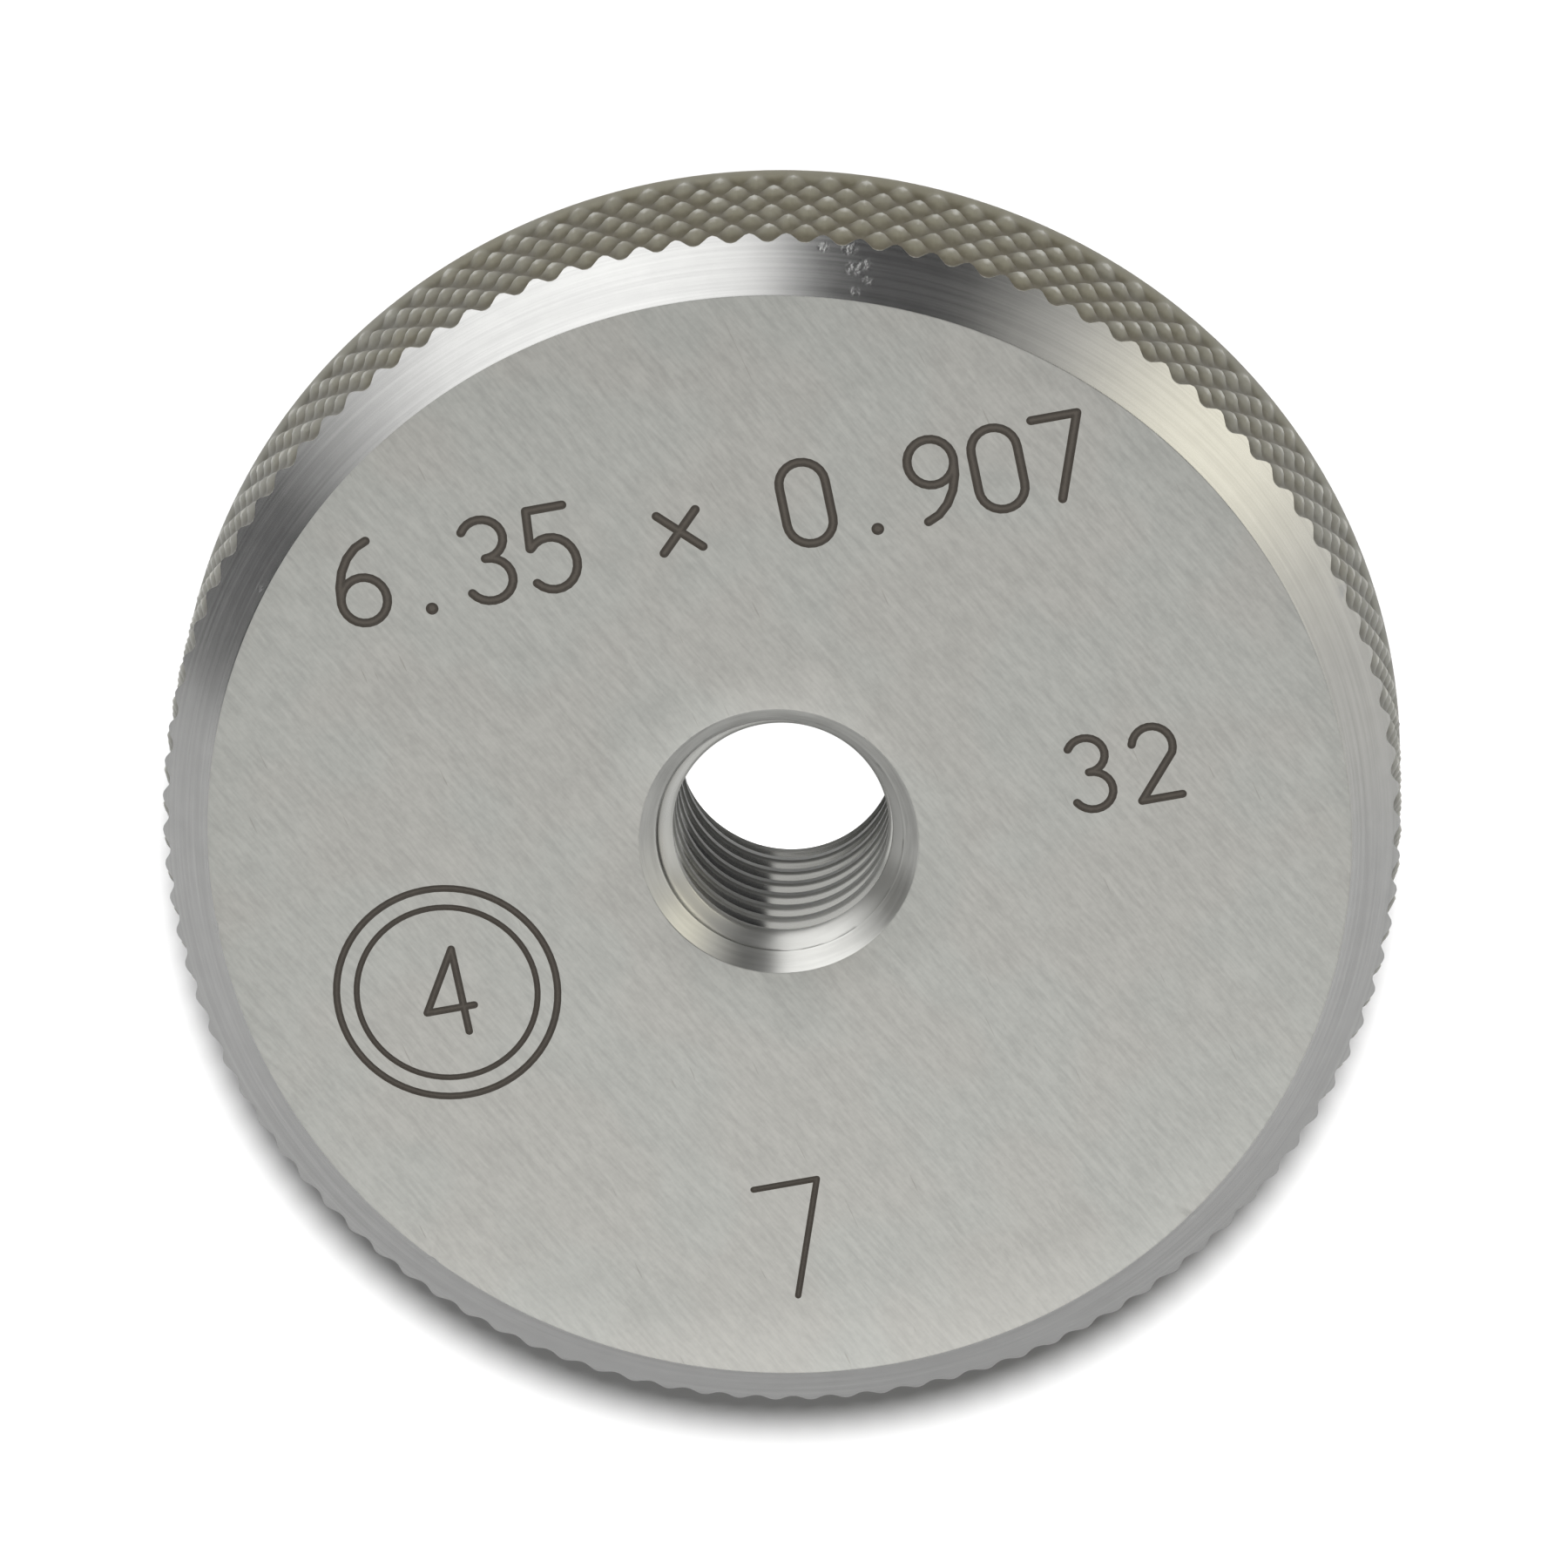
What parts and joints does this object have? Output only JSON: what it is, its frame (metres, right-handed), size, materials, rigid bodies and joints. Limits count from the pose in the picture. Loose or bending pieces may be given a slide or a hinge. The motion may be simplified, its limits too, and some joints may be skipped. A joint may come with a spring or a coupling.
{
  "type": "thread ring gauge",
  "caption": "Solid steel ring with a fine threaded bore, countersunk at both ends, and a diamond-knurled rim, for checking an external screw thread.",
  "frame": {"origin": "centre of the rear face, which the gauge rests on", "axes": "+Z along the thread's axis, out of the marked face; +X along the marking's reading direction, +Y to its top"},
  "size_m": [0.032, 0.032, 0.008],
  "materials": {
    "gauge_steel": "ground faces, turned chamfers, knurled rim"
  },
  "bodies": {
    "root": {"gauge_ring": "gauge_steel"}
  },
  "joints": []
}
